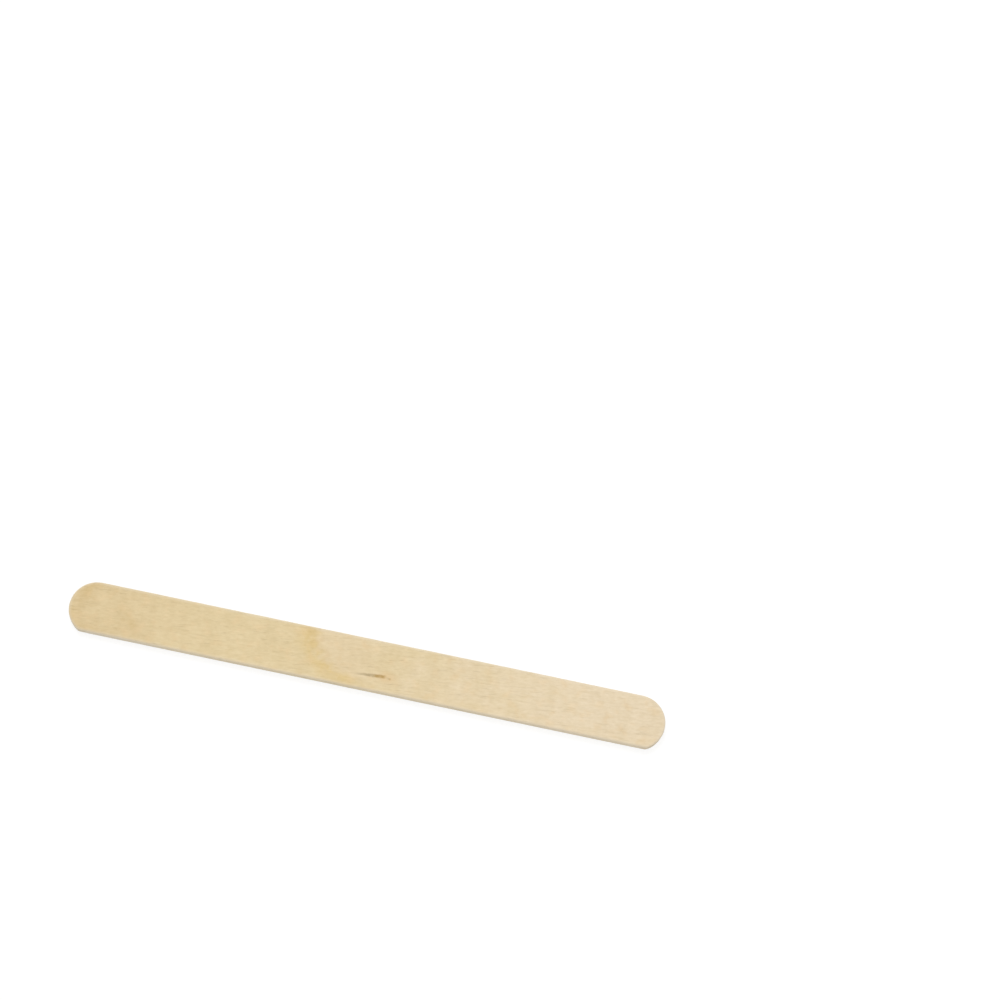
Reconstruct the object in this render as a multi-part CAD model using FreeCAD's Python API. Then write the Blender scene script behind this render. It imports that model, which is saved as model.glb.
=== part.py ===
import FreeCAD, Part
import math
import os

# A slim flat wooden stick for spreading wax. It is cut from a strip of birch veneer:
# two straight sides, and both ends punched round. The punch is a little larger than the
# strip is wide and sits a little off its middle line, towards -Y, so that each end runs
# smoothly into the +Y side and meets the -Y side at a low corner. Tumbling the sticks in
# a drum eases those corners and rounds the edges of both faces.
#
# The stick lies on one face, with X along it, Y across it and Z up through the veneer.
# The origin is on the surface it lies on, under the middle of the stick.

# Driving dimensions, in millimetres
stick_length = 114.0      # from tip to tip
stick_width = 9.8         # between the two straight sides
stick_thickness = 2.0     # of the veneer
punch_offset = 0.3        # from the stick's middle line to the punch's centre, towards -Y
shoulder_easing = 1.5     # radius on the low corners where the ends meet the -Y side
edge_rounding = 0.3       # radius around the edges of both faces

# What follows from them
half_width = stick_width / 2
punch_radius = half_width + punch_offset          # reaches the +Y side and runs into it smoothly
punch_centre = stick_length / 2 - punch_radius    # along X, from the middle of the stick
corner_reach = half_width - punch_offset          # across from the punch's centre to the -Y side
corner_place = punch_centre + math.sqrt(punch_radius**2 - corner_reach**2)


def smooth_point(end):
    """Where the curve of one end, -1 or +1, runs into the +Y side."""
    return FreeCAD.Vector(end * punch_centre, half_width, 0)


def tip_point(end):
    """The furthest point of one end."""
    return FreeCAD.Vector(end * stick_length / 2, -punch_offset, 0)


def corner_point(end):
    """Where the curve of one end meets the -Y side."""
    return FreeCAD.Vector(end * corner_place, -half_width, 0)


def stick_outline():
    """The stick seen from above: two straight sides and the two punched ends."""
    far_side = Part.LineSegment(smooth_point(-1), smooth_point(1))
    right_end = Part.Arc(smooth_point(1), tip_point(1), corner_point(1))
    near_side = Part.LineSegment(corner_point(1), corner_point(-1))
    left_end = Part.Arc(corner_point(-1), tip_point(-1), smooth_point(-1))
    return Part.Wire([side.toShape() for side in (far_side, right_end, near_side, left_end)])


def punched_blank():
    """The flat piece as it leaves the punch, with all its edges sharp."""
    return Part.Face(stick_outline()).extrude(FreeCAD.Vector(0, 0, stick_thickness))


def stands_upright(edge):
    """True for an edge that runs up through the veneer, and False for one that lies around a face."""
    return edge.BoundBox.ZLength > stick_thickness / 2


def is_low_corner(edge):
    """True for an upright edge where an end meets the -Y side."""
    return stands_upright(edge) and edge.CenterOfMass.y < 0


def applicator_stick():
    """The finished stick: the blank with its two low corners eased and its edges rounded."""
    blank = punched_blank()
    low_corners = [edge for edge in blank.Edges if is_low_corner(edge)]
    eased = blank.makeFillet(shoulder_easing, low_corners)
    face_edges = [edge for edge in eased.Edges if not stands_upright(edge)]
    return eased.makeFillet(edge_rounding, face_edges)


os.makedirs("parts", exist_ok=True)
stick = applicator_stick()
stick.exportStep("parts/applicator_stick.step")
print("volume in cubic millimetres:", round(stick.Volume, 1))
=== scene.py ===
import math

import bmesh
import bpy
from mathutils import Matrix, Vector


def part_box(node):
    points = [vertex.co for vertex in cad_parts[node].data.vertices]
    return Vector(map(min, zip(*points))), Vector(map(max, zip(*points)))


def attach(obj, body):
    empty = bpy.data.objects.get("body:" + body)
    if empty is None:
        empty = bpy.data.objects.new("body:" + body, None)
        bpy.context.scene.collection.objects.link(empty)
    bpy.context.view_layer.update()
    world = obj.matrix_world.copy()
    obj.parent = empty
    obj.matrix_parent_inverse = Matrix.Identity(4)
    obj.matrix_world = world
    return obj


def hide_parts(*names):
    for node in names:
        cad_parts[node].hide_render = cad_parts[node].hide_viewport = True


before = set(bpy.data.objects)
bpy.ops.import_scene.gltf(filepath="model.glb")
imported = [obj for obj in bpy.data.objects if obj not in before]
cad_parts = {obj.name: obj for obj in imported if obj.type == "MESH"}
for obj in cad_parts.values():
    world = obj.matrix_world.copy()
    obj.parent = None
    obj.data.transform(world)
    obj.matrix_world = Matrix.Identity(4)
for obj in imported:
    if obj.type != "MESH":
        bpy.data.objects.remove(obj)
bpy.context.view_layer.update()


# The stick is one piece of birch veneer with nothing fixed to it. Its two long sides are
# cut straight along the grain and both ends are punched round across it. Tumbling in a
# drum then eases the low corners and rounds the edges of both faces.

stick_low, stick_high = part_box("applicator_stick")
half_length = (stick_high.x - stick_low.x) / 2
half_width = (stick_high.y - stick_low.y) / 2
half_thickness = (stick_high.z - stick_low.z) / 2
punch_offset = 0.0003      # from the stick's middle line to the punch's centre, towards -Y
shoulder_easing = 0.0015   # radius on the low corners where the ends meet the -Y side
edge_rounding = 0.0003     # radius around the edges of both faces
same_place = 1e-6          # points nearer to each other than this are one

# The punch's curve, the easing's centre and turn, and the point where the two curves meet
punch_radius = half_width + punch_offset
punch_centre = half_length - punch_radius
easing_y = shoulder_easing - half_width
easing_x = punch_centre + math.sqrt(
    (punch_radius - shoulder_easing) ** 2 - (easing_y + punch_offset) ** 2
)
easing_turn = math.atan2(easing_x - punch_centre, -(easing_y + punch_offset))
end_turn = math.pi - easing_turn
meeting_x = punch_centre + punch_radius * math.sin(easing_turn)
meeting_y = -punch_offset - punch_radius * math.cos(easing_turn)

# Cells of the mesh along each stretch of the outline. The face's rows start a few cells
# into each end, where the two sides have as many cells left and lie opposite each other.
far_cells = 208
near_cells = 216
end_cells = 60
easing_cells = 5
corner_cells = 7
cells_across = 55
rim_cells = 6
wall_cells = 4


def select_vertices(chosen):
    """Selects only the vertices of the edited stick whose places pass the test."""
    mesh = bmesh.from_edit_mesh(stick.data)
    for vertex in mesh.verts:
        vertex.select_set(chosen(vertex.co))
    mesh.select_flush_mode()
    bmesh.update_edit_mesh(stick.data)


def select_edges(chosen):
    """Selects only the edges of the edited stick that pass the test."""
    mesh = bmesh.from_edit_mesh(stick.data)
    for vertex in mesh.verts:
        vertex.select_set(False)
    mesh.select_flush(False)
    for edge in mesh.edges:
        if chosen(edge):
            edge.select_set(True)
    bmesh.update_edit_mesh(stick.data)


def select_upright_at(x, y):
    """Selects the upright edge of the wall at that place."""
    select_vertices(lambda place: math.hypot(place.x - x, place.y - y) < same_place)


def is_at_top(place):
    return place.z > half_thickness - same_place


def is_open_at_top(edge):
    return edge.is_boundary and all(is_at_top(vertex.co) for vertex in edge.verts)


def is_upright(edge):
    return abs(edge.verts[0].co.z - edge.verts[1].co.z) > half_thickness / 2


# The wall of the upper half, round the whole outline, from the middle of the thickness up
bpy.ops.object.select_all(action="DESELECT")
bpy.ops.mesh.primitive_grid_add(
    x_subdivisions=far_cells,
    y_subdivisions=1,
    size=1,
    location=(0, half_width, half_thickness / 2),
    rotation=(math.pi / 2, 0, 0),
)
stick = bpy.context.object
stick.name = "birch_stick"
stick.data.name = "birch_stick"
stick.scale = (2 * punch_centre, half_thickness, 1)
bpy.ops.object.transform_apply(location=True, rotation=True, scale=True)
bpy.ops.object.mode_set(mode="EDIT")
bpy.ops.mesh.select_mode(type="VERT")
select_upright_at(punch_centre, half_width)
bpy.ops.mesh.spin(
    steps=end_cells, angle=end_turn, center=(punch_centre, -punch_offset, 0), axis=(0, 0, 1)
)
select_upright_at(meeting_x, meeting_y)
bpy.ops.mesh.spin(
    steps=easing_cells, angle=easing_turn, center=(easing_x, easing_y, 0), axis=(0, 0, 1)
)
select_upright_at(easing_x, -half_width)
bpy.ops.mesh.extrude_repeat(steps=near_cells, offset=(-2 * easing_x / near_cells, 0, 0))
select_upright_at(-easing_x, -half_width)
bpy.ops.mesh.spin(
    steps=easing_cells, angle=easing_turn, center=(-easing_x, easing_y, 0), axis=(0, 0, 1)
)
select_upright_at(-meeting_x, meeting_y)
bpy.ops.mesh.spin(
    steps=end_cells, angle=end_turn, center=(-punch_centre, -punch_offset, 0), axis=(0, 0, 1)
)
bpy.ops.mesh.select_all(action="SELECT")
bpy.ops.mesh.remove_doubles(threshold=same_place)

# The rounded edge and the wall's rows
bpy.ops.mesh.select_mode(type="EDGE")
select_edges(is_open_at_top)
bpy.ops.mesh.edge_face_add()
bpy.ops.mesh.bevel(offset=edge_rounding, segments=rim_cells, profile=0.5, affect="EDGES")
select_edges(is_upright)
bpy.ops.mesh.subdivide(number_cuts=wall_cells - 1)

# The face, in rows along the stick, in place of the one large face that the bevel left
bpy.ops.mesh.select_mode(type="FACE")
edited = bmesh.from_edit_mesh(stick.data)
for face in edited.faces:
    face.select_set(len(face.verts) > 4)
bmesh.update_edit_mesh(stick.data)
bpy.ops.mesh.delete(type="ONLY_FACE")
bpy.ops.mesh.select_mode(type="VERT")
select_vertices(is_at_top)
corner_turn = end_turn * corner_cells / end_cells
corner_x = punch_centre + (punch_radius - edge_rounding) * math.sin(corner_turn)
corner_y = -punch_offset + (punch_radius - edge_rounding) * math.cos(corner_turn)
edited = bmesh.from_edit_mesh(stick.data)
first_corner = min(
    (vertex for vertex in edited.verts if vertex.select),
    key=lambda vertex: math.hypot(vertex.co.x - corner_x, vertex.co.y - corner_y),
)
edited.select_history.clear()
edited.select_history.add(first_corner)
bmesh.update_edit_mesh(stick.data)
bpy.ops.mesh.fill_grid(span=cells_across)
bpy.ops.mesh.select_all(action="SELECT")
bpy.ops.mesh.normals_make_consistent(inside=False)
bpy.ops.object.mode_set(mode="OBJECT")

# The lower half, and the stick's place on its face
lower_half = stick.modifiers.new("lower half", "MIRROR")
lower_half.use_axis = (False, False, True)
lower_half.merge_threshold = same_place
bpy.ops.object.modifier_apply(modifier=lower_half.name)
stick.location.z = half_thickness
bpy.ops.object.transform_apply(location=True, rotation=False, scale=False)
bpy.ops.object.shade_smooth_by_angle(angle=math.radians(40))


def name_vertices(name, chosen):
    """Makes a vertex group of the vertices whose places pass the test."""
    bpy.ops.object.mode_set(mode="EDIT")
    select_vertices(chosen)
    bpy.ops.object.vertex_group_assign_new()
    stick.vertex_groups.active.name = name
    bpy.ops.object.mode_set(mode="OBJECT")


def wear_away(name, depth, sizes, where=""):
    """Sinks the surface by up to that depth, in soft hollows of those sizes along the grain."""
    bpy.ops.object.empty_add(rotation=(0, 0, grain_turn))
    pattern_place = bpy.context.object
    pattern_place.scale = sizes
    hollows = bpy.data.textures.new(name, "CLOUDS")
    hollows.noise_scale = 1.0
    hollows.noise_depth = 1
    wear = stick.modifiers.new(name, "DISPLACE")
    wear.texture = hollows
    wear.texture_coords = "OBJECT"
    wear.texture_coords_object = pattern_place
    wear.strength = depth
    wear.mid_level = 1.0
    wear.vertex_group = where
    bpy.context.view_layer.objects.active = stick
    bpy.ops.object.modifier_apply(modifier=wear.name)
    bpy.data.objects.remove(pattern_place)
    bpy.data.textures.remove(hollows)


# Relief: fibres that stand proud, the peeling knife's faint waves, knocks along the rounded
# edges and torn fibres on the punched ends. All of it lies inside the stick's outline.
grain_turn = math.radians(5.5)                  # of the fibres, from the stick's length
face_zone = half_thickness * 0.99               # both zones are heights from the middle
wall_zone = half_thickness - edge_rounding
end_wall_start = punch_centre + 0.001
name_vertices("edges", lambda place: wall_zone < abs(place.z - half_thickness) < face_zone)
name_vertices(
    "end walls",
    lambda place: abs(place.z - half_thickness) < wall_zone and abs(place.x) > end_wall_start,
)
wear_away("fibres", 0.000014, (0.007, 0.0006, 0.0006))
wear_away("knife waves", 0.000012, (0.003, 0.012, 0.006))
wear_away("knocks", 0.00005, (0.0012, 0.0012, 0.0012), "edges")
wear_away("torn fibres", 0.00006, (0.0005, 0.0005, 0.0018), "end walls")
bpy.ops.object.vertex_group_remove(all=True)


def add_node(tree, kind, inputs, **settings):
    """A node of that kind. Its inputs are numbers, colours or other nodes' outputs."""
    node = tree.nodes.new("ShaderNode" + kind)
    for name, value in settings.items():
        setattr(node, name, value)
    for name, value in inputs.items():
        if isinstance(value, bpy.types.NodeSocket):
            tree.links.new(value, node.inputs[name])
        else:
            node.inputs[name].default_value = value
    return node


def calculate(tree, operation, *numbers):
    """The output of a Math node on those numbers or outputs."""
    return add_node(tree, "Math", dict(enumerate(numbers)), operation=operation).outputs[0]


def product(tree, first, *others):
    """All those numbers or outputs, multiplied."""
    for other in others:
        first = calculate(tree, "MULTIPLY", first, other)
    return first


def distance(tree, along, across):
    """The straight distance to a point that lies so far along and so far across."""
    squared = calculate(tree, "MULTIPLY_ADD", along, along, product(tree, across, across))
    return calculate(tree, "SQRT", squared)


def ramp(tree, value, start, end, low=0.0, high=1.0):
    """The value's smooth way from low, at start, to high, at end."""
    inputs = {"Value": value, "From Min": start, "From Max": end, "To Min": low, "To Max": high}
    return add_node(tree, "MapRange", inputs, interpolation_type="SMOOTHSTEP").outputs["Result"]


def noise(tree, place, scale, detail, roughness=0.5):
    """Soft noise around 0.5, with about that many spots to each unit of the place."""
    inputs = {"Vector": place, "Scale": scale, "Detail": detail, "Roughness": roughness}
    return add_node(tree, "TexNoise", inputs).outputs[0]


def stray(tree, value, wander, reach):
    """The value, moved either way by the noise's distance from 0.5, times the reach."""
    off = calculate(tree, "SUBTRACT", wander, 0.5)
    return calculate(tree, "MULTIPLY_ADD", off, reach, value)


def mix_colours(tree, share, first, second, how="MIX"):
    """The first colour with that share of the second."""
    inputs = {0: share, 6: first, 7: second}
    return add_node(tree, "Mix", inputs, data_type="RGBA", blend_type=how).outputs[2]


def shade(red, green, blue):
    """A colour from its 0 to 255 levels, as Blender holds it."""
    levels = [level / 255 for level in (red, green, blue)]
    linear = [
        level / 12.92 if level <= 0.04045 else ((level + 0.055) / 1.055) ** 2.4
        for level in levels
    ]
    return (*linear, 1.0)


def new_group(name, inputs, outputs):
    """An empty shader group with those named sockets, what it is given and what it puts out."""
    group = bpy.data.node_groups.new(name, "ShaderNodeTree")
    for socket, kind, value in inputs:
        made = group.interface.new_socket(socket, in_out="INPUT", socket_type="NodeSocket" + kind)
        if value is not None:
            made.default_value = value
    for socket, kind in outputs:
        group.interface.new_socket(socket, in_out="OUTPUT", socket_type="NodeSocket" + kind)
    given = group.nodes.new("NodeGroupInput").outputs
    result = group.nodes.new("NodeGroupOutput").inputs
    return group, given, result


def place_group(tree, group, inputs):
    """The outputs of that group in the tree, with its inputs filled in."""
    return add_node(tree, "Group", inputs, node_tree=group).outputs


# Streaks that run along X, as wood fibres do, from about -1 to 1. Sizes are in the
# units of the place.
fibres, given, result = new_group(
    "fibres",
    [("Place", "Vector", None), ("Length", "Float", 3.0), ("Width", "Float", 0.3),
     ("Start", "Float", 0.0), ("Detail", "Float", 2.0)],
    [("Streaks", "Float")],
)
per_width = calculate(fibres, "DIVIDE", 1.0, given["Width"])
per_size = add_node(fibres, "CombineXYZ", {
    "X": calculate(fibres, "DIVIDE", 1.0, given["Length"]),
    "Y": per_width,
    "Z": per_width,
}).outputs[0]
stretched = add_node(
    fibres, "VectorMath", {0: given["Place"], 1: per_size, 2: given["Start"]},
    operation="MULTIPLY_ADD",
).outputs[0]
streak_noise = noise(fibres, stretched, 1.0, given["Detail"])
fibres.links.new(stray(fibres, 0.0, streak_noise, 2.0), result["Streaks"])

# A pith fleck: a brown trace along the grain, faint where it begins and rusty at its end,
# with a warm halo round that end. The way along it runs from 0 to 1.
fleck, given, result = new_group(
    "pith fleck",
    [("Place", "Vector", None), ("From", "Float", 0.0), ("To", "Float", 3.6),
     ("Across", "Float", -1.9), ("Rise", "Float", 0.05), ("Thickness", "Float", 0.35)],
    [("Trace", "Float"), ("Rust", "Float"), ("Halo", "Float")],
)
fleck_place = add_node(fleck, "SeparateXYZ", {"Vector": given["Place"]}).outputs
fleck_noise = noise(fleck, given["Place"], 1.6, 2.0)
from_start = calculate(fleck, "SUBTRACT", fleck_place["X"], given["From"])
fleck_length = calculate(fleck, "SUBTRACT", given["To"], given["From"])
along = calculate(fleck, "DIVIDE", from_start, fleck_length)
track = calculate(fleck, "MULTIPLY_ADD", from_start, given["Rise"], given["Across"])
off_track = calculate(fleck, "SUBTRACT", fleck_place["Y"], track)
off_track = stray(fleck, off_track, fleck_noise, 0.25)
half_trace = product(fleck, given["Thickness"], ramp(fleck, along, 0.3, 0.75, 0.34, 0.5))
off_share = calculate(fleck, "DIVIDE", calculate(fleck, "ABSOLUTE", off_track), half_trace)
trace = product(
    fleck,
    ramp(fleck, off_share, 1.2, 0.3),
    ramp(fleck, along, -0.05, 0.55),
    ramp(fleck, along, 1.04, 0.88),
    ramp(fleck, fleck_noise, 0.32, 0.6, 0.8, 1.0),
)
fleck.links.new(trace, result["Trace"])
fleck.links.new(ramp(fleck, along, 0.55, 0.75), result["Rust"])
past_stop = add_node(fleck, "CombineXYZ", {
    "X": calculate(fleck, "SUBTRACT", fleck_place["X"], given["To"]),
    "Y": calculate(fleck, "MULTIPLY", off_track, 1.6),
}).outputs[0]
halo_reach = add_node(fleck, "VectorMath", {0: past_stop}, operation="LENGTH").outputs["Value"]
fleck.links.new(ramp(fleck, halo_reach, 2.6, 0.2), result["Halo"])

# The birch's colours
tan_and_shaded_wood = shade(219, 195, 149)        # towards -X, partly painted shade
sapwood = shade(227, 206, 161)         # in the middle
pale_and_lit_wood = shade(235, 216, 183)       # towards +X, partly painted light
tanned_tip = shade(214, 186, 130)      # the very tip at -X
honey = shade(222, 190, 120)           # the growth ring
ring_hollow = shade(230, 208, 171)     # the wood inside the ring's bow
warm_wood = shade(235, 204, 155)       # soft patches anywhere
wall_painted_pale = shade(233, 222, 202)        # the wall, painted paler to lift its shade
rubbed_and_highlit_wood = shade(236, 223, 199)     # the worn edges, partly a painted highlight
fleck_halo = shade(226, 190, 134)
fleck_brown = shade(175, 154, 115)
fleck_rust = shade(175, 138, 68)

# The birch: pale sapwood, tan towards -X, with one honey-coloured growth ring across it. The
# drift from tan to pale is partly the wood's own tone and partly painted light, brighter towards
# +X.
# Patterns are in millimetres, and fibres run a few degrees off the stick's length.
millimetres = 1000.0
thickness = 2 * half_thickness * millimetres
birch = bpy.data.materials.new("birch")
birch.use_nodes = True
tree = birch.node_tree
tree.nodes.clear()
object_place = add_node(tree, "TexCoord", {}).outputs["Object"]
place = add_node(
    tree, "VectorMath", {0: object_place, "Scale": millimetres}, operation="SCALE"
).outputs[0]
x, y, z = add_node(tree, "SeparateXYZ", {"Vector": place}).outputs
grain = add_node(
    tree, "Mapping", {"Vector": place, "Rotation": (0, 0, -grain_turn)}
).outputs[0]

# Where a point lies: upper face, underside, the cut wall, its two ends, and the rounded
# edges, which start 0.7 from the middle of the thickness and end 1.0 from it
from_middle = calculate(tree, "ABSOLUTE", calculate(tree, "SUBTRACT", z, thickness / 2))
from_mid_length = calculate(tree, "ABSOLUTE", x)
upper = ramp(tree, z, 1.7, 1.95)
underside = ramp(tree, z, 0.3, 0.05)
wall = ramp(tree, from_middle, 0.96, 0.72)
end_wall = product(tree, wall, ramp(tree, from_mid_length, 52.0, 55.5))
rounded_edge = product(
    tree, ramp(tree, from_middle, 0.98, 0.92), ramp(tree, from_middle, 0.66, 0.76)
)

# Tone along the stick, partly the wood's own and partly painted light: darker towards -X, paler
# towards +X
cloud = noise(tree, place, 0.18, 3.0, 0.6)
drift = stray(tree, x, cloud, 45.0)
tone = mix_colours(tree, ramp(tree, drift, -64, -26), tan_and_shaded_wood, sapwood)
tone = mix_colours(tree, ramp(tree, drift, -6, 44), tone, pale_and_lit_wood)
tone = mix_colours(tree, ramp(tree, drift, -47, -60, 0.0, 0.6), tone, tanned_tip)

# The growth ring, half of a long bow that opens towards +X and sinks into the veneer
bow_middle = 4.5      # along Y, where the bow lies furthest towards -X
bow_reach = 12.1      # along X, from the bow's open side to its furthest point
bow_half_width = 9.1
bow_x = calculate(tree, "DIVIDE", calculate(tree, "MINIMUM", x, 0.0), bow_reach)
bow_y = calculate(tree, "DIVIDE", calculate(tree, "SUBTRACT", y, bow_middle), bow_half_width)
bow = stray(tree, distance(tree, bow_x, bow_y), noise(tree, place, 0.45, 3.0, 0.6), 0.35)
depth = calculate(tree, "SUBTRACT", thickness, z)
bow = calculate(tree, "MULTIPLY_ADD", depth, 0.12, bow)
off_ring = calculate(tree, "ABSOLUTE", calculate(tree, "SUBTRACT", bow, 1.0))
ring = product(
    tree,
    ramp(tree, off_ring, 0.26, 0.0),
    ramp(tree, x, 1.5, -5.0, 0.06, 0.56),
    ramp(tree, noise(tree, place, 0.45, 2.0), 0.3, 0.55, 0.5, 1.0),
    ramp(tree, z, 0.0, thickness, 0.5, 1.0),
)
tone = mix_colours(tree, ring, tone, honey)
inside_ring = product(tree, ramp(tree, bow, 0.97, 0.8, 0.0, 0.5), ramp(tree, x, 6.0, -4.0))
tone = mix_colours(tree, inside_ring, tone, ring_hollow)

# Soft warm patches
warmth = noise(tree, grain, 0.5, 2.0)
tone = mix_colours(tree, ramp(tree, warmth, 0.48, 0.75, 0.0, 0.3), tone, warm_wood)

# Streaks of fibres and a cross figure, as a factor on the tone: what each follows, its
# length and width, where its noise starts, and its strength
figure_place = add_node(
    tree, "Mapping", {"Vector": place, "Rotation": (0, 0, math.radians(78))}
).outputs[0]
streaks = {}
liveliness = 1.0
for name, source, length, width, start, strength in (
    ("long", grain, 14.0, 1.3, 0.0, 0.045),
    ("middle", grain, 3.2, 0.5, 31.0, 0.07),
    ("fine", grain, 1.3, 0.2, 7.0, 0.08),
    ("dashes", grain, 0.8, 0.45, 53.0, 0.095),
    ("figure", figure_place, 7.0, 2.2, 3.0, 0.065),
):
    streaks[name] = place_group(
        tree, fibres, {"Place": source, "Length": length, "Width": width, "Start": start}
    )["Streaks"]
    liveliness = calculate(tree, "MULTIPLY_ADD", streaks[name], strength, liveliness)

# Vessels: short hair-thin grooves, and on the underside the long checks that peeling opens
vessel_streaks = place_group(
    tree, fibres, {"Place": grain, "Length": 3.2, "Width": 0.085, "Start": 83.0}
)["Streaks"]
vessels = ramp(tree, vessel_streaks, 0.28, 0.5)
check_streaks = place_group(
    tree, fibres,
    {"Place": grain, "Length": 45.0, "Width": 1.5, "Start": 19.0, "Detail": 0.6},
)["Streaks"]
checks = product(
    tree,
    ramp(tree, calculate(tree, "ABSOLUTE", check_streaks), 0.022, 0.0),
    underside,
    ramp(tree, cloud, 0.42, 0.55),
)
liveliness = calculate(tree, "MULTIPLY_ADD", vessels, -0.045, liveliness)
liveliness = calculate(tree, "MULTIPLY_ADD", checks, -0.22, liveliness)

# The wall is painted paler, most of all towards -X: painted light, lifting the shade it lies in.
# It shows the wood's layers edge on and faint upright marks of the punch; across the grain, at
# the ends, it is darker and full of open pores
wall_lightening_share = product(tree, wall, ramp(tree, drift, -10, -55, 0.46, 0.75))
tone = mix_colours(tree, wall_lightening_share, tone, wall_painted_pale)
layer_place = add_node(tree, "Mapping", {"Vector": place, "Scale": (0.025, 0.12, 9.0)}).outputs[0]
layers = noise(tree, layer_place, 1.0, 3.0, 0.6)
mark_place = add_node(tree, "Mapping", {"Vector": place, "Scale": (5.0, 5.0, 0.35)}).outputs[0]
marks = noise(tree, mark_place, 1.0, 2.0, 0.6)
pores = add_node(
    tree, "TexVoronoi", {"Vector": place, "Scale": 12.0, "Randomness": 1.0}
).outputs["Distance"]
open_pores = product(tree, ramp(tree, pores, 0.32, 0.12), end_wall)
wall_tone = stray(tree, stray(tree, 0.0, layers, 0.36), marks, 0.1)
liveliness = calculate(tree, "MULTIPLY_ADD", wall_tone, wall, liveliness)
liveliness = calculate(tree, "MULTIPLY_ADD", end_wall, -0.1, liveliness)
liveliness = calculate(tree, "MULTIPLY_ADD", open_pores, -0.1, liveliness)

# Darker streaks are browner and paler ones less so
streak_tint = add_node(tree, "CombineColor", {
    "Red": calculate(tree, "POWER", liveliness, 0.82),
    "Green": liveliness,
    "Blue": calculate(tree, "POWER", liveliness, 1.5),
}).outputs[0]
tone = mix_colours(tree, 1.0, tone, streak_tint, "MULTIPLY")

# Tumbling rubs the edges pale, and unevenly the rim of the faces beside them. The paleness is
# partly painted highlight, where the rounded edges catch the light
from_side = calculate(
    tree, "SUBTRACT", half_width * millimetres, calculate(tree, "ABSOLUTE", y)
)
past_centre = calculate(tree, "SUBTRACT", from_mid_length, punch_centre * millimetres)
past_centre = calculate(tree, "MAXIMUM", 0.0, past_centre)
off_centre = calculate(tree, "ADD", y, punch_offset * millimetres)
from_centre = distance(tree, past_centre, off_centre)
from_end = calculate(tree, "SUBTRACT", punch_radius * millimetres, from_centre)
from_rim = stray(tree, calculate(tree, "MINIMUM", from_side, from_end), warmth, 0.5)
worn_and_highlit_rim = product(
    tree, ramp(tree, from_rim, 0.75, 0.15, 0.0, 0.32), ramp(tree, from_middle, 0.85, 0.95)
)
# All rounded edges get half the pale tone: partly wear, partly painted highlight
wear_and_highlight = calculate(tree, "MAXIMUM", worn_and_highlit_rim, product(tree, rounded_edge, 0.5))
tone = mix_colours(tree, wear_and_highlight, tone, rubbed_and_highlit_wood)

# Pith flecks, two on the upper face and two on the underside: the side, where each starts
# and ends along X, where it starts across the stick, its rise, its thickness and its share
traces = 0.0
for side, start, stop, across, rise, fleck_thickness, share in (
    (upper, -2.6, 4.0, -2.31, 0.075, 0.8, 0.86),
    (upper, 3.8, 4.9, -2.0, -0.05, 0.5, 0.4),
    (underside, -38.0, -33.5, 1.9, 0.08, 0.5, 0.8),
    (underside, 21.5, 23.8, -0.6, 0.07, 0.4, 0.6),
):
    pith = place_group(tree, fleck, {
        "Place": place, "From": start, "To": stop, "Across": across, "Rise": rise,
        "Thickness": fleck_thickness,
    })
    halo = product(tree, pith["Halo"], side, 0.4 * share)
    trace = product(tree, pith["Trace"], side, share)
    tone = mix_colours(tree, halo, tone, fleck_halo)
    brown = mix_colours(tree, pith["Rust"], fleck_brown, fleck_rust)
    tone = mix_colours(tree, trace, tone, brown)
    traces = calculate(tree, "ADD", trace, traces)

# Relief, as the height or depth of each mark in millimetres
height = 0.0
for source, rise in (
    (streaks["fine"], 0.010),
    (streaks["middle"], 0.010),
    (vessels, -0.020),
    (checks, -0.040),
    (traces, -0.020),
    (open_pores, -0.030),
    (product(tree, layers, wall), 0.030),
    (product(tree, marks, wall), 0.015),
):
    height = calculate(tree, "MULTIPLY_ADD", source, rise, height)
relief = add_node(
    tree, "Bump", {"Height": height, "Strength": 1.0, "Distance": 1 / millimetres}
).outputs["Normal"]
roughness = calculate(tree, "MULTIPLY_ADD", streaks["middle"], 0.08, 0.62)
roughness = calculate(tree, "MULTIPLY_ADD", wall, 0.08, roughness)
finish = add_node(
    tree, "BsdfPrincipled", {"Base Color": tone, "Roughness": roughness, "Normal": relief}
)
tree.links.new(finish.outputs[0], add_node(tree, "OutputMaterial", {}).inputs["Surface"])
stick.data.materials.append(birch)

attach(stick, "root")
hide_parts("applicator_stick")


# The ground is one plain white sheet that runs on behind the stick. To the stick it is white
# paper that throws light back. To the camera and in gloss it is greyer but glows, which
# together is white, and it darkens only where the stick shades it.

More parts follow.
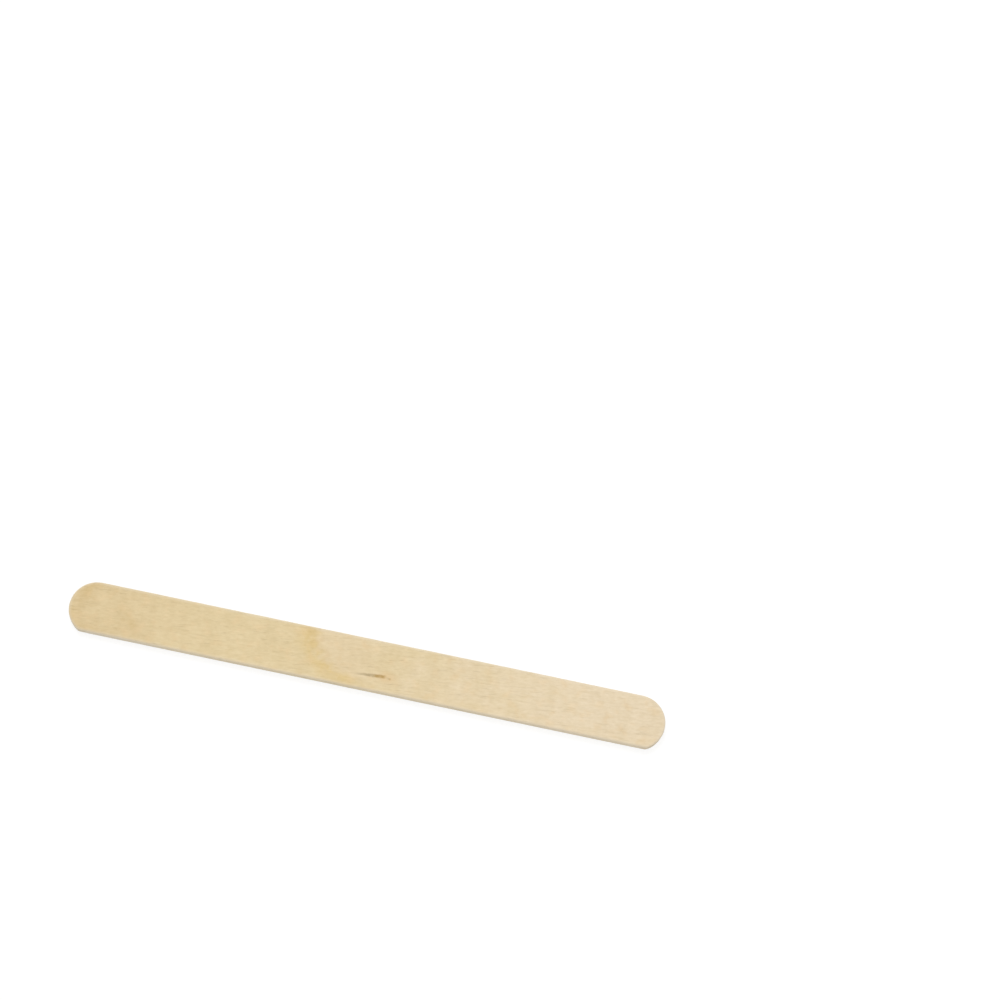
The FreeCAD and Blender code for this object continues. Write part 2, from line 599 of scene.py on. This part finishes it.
ground_size = 6.0
ground_glow = 0.77
paper_white = shade(225, 225, 225)
paper_seen = shade(145, 145, 145)
bpy.ops.object.select_all(action="DESELECT")
bpy.ops.mesh.primitive_plane_add(size=ground_size)
ground = bpy.context.object
ground.name = "ground"
paper = bpy.data.materials.new("white paper")
paper.use_nodes = True
tree = paper.node_tree
tree.nodes.clear()
rays = add_node(tree, "LightPath", {}).outputs
seen = calculate(tree, "MAXIMUM", rays["Is Camera Ray"], rays["Is Glossy Ray"])
sheet_finish = add_node(tree, "BsdfPrincipled", {
    "Base Color": mix_colours(tree, seen, paper_white, paper_seen),
    "Roughness": 0.9,
    "Emission Color": (1, 1, 1, 1),
    "Emission Strength": calculate(tree, "MULTIPLY", seen, ground_glow),
})
tree.links.new(sheet_finish.outputs[0], add_node(tree, "OutputMaterial", {}).inputs["Surface"])
ground.data.materials.append(paper)


# Plain studio light: an even white room, and one large soft lamp high behind the stick,
# so that the side nearest the viewer is in soft shade.

room_light = 0.74
room_seen = 1.0
room = bpy.data.worlds.new("white room")
bpy.context.scene.world = room
room.use_nodes = True
tree = room.node_tree
tree.nodes.clear()
rays = add_node(tree, "LightPath", {}).outputs
seen = calculate(tree, "MAXIMUM", rays["Is Camera Ray"], rays["Is Glossy Ray"])
room_strength = ramp(tree, seen, 0.0, 1.0, room_light, room_seen)
room_finish = add_node(tree, "Background", {"Color": (1, 1, 1, 1), "Strength": room_strength})
tree.links.new(room_finish.outputs[0], add_node(tree, "OutputWorld", {}).inputs["Surface"])

bpy.ops.object.light_add(type="AREA", location=(-0.25, 0.55, 0.9))
lamp = bpy.context.object
lamp.name = "lamp"
lamp.data.shape = "DISK"
lamp.data.size = 0.5
lamp.data.energy = 3.2
lamp.rotation_euler = (-lamp.location).to_track_quat("-Z", "Y").to_euler()


# The camera looks down on the stick from the -Y side, turned a little about its own line
# of sight, so that the stick lies across the picture with its +X end lower.

camera_place = Vector((0.0182, -0.1045, 0.4596))
camera_aim = Vector((0.0180, 0.0373, 0.0))
camera_roll = math.radians(11.72)    # about its own line of sight
bpy.ops.object.camera_add(location=camera_place)
camera = bpy.context.object
camera.name = "camera"
camera.rotation_euler = (camera_aim - camera_place).to_track_quat("-Z", "Y").to_euler()
camera.rotation_euler.rotate_axis("Z", camera_roll)
camera.data.lens = 90
camera.data.sensor_width = 36
camera.data.clip_start = 0.01
bpy.context.scene.camera = camera
bpy.context.scene.view_settings.view_transform = "Standard"
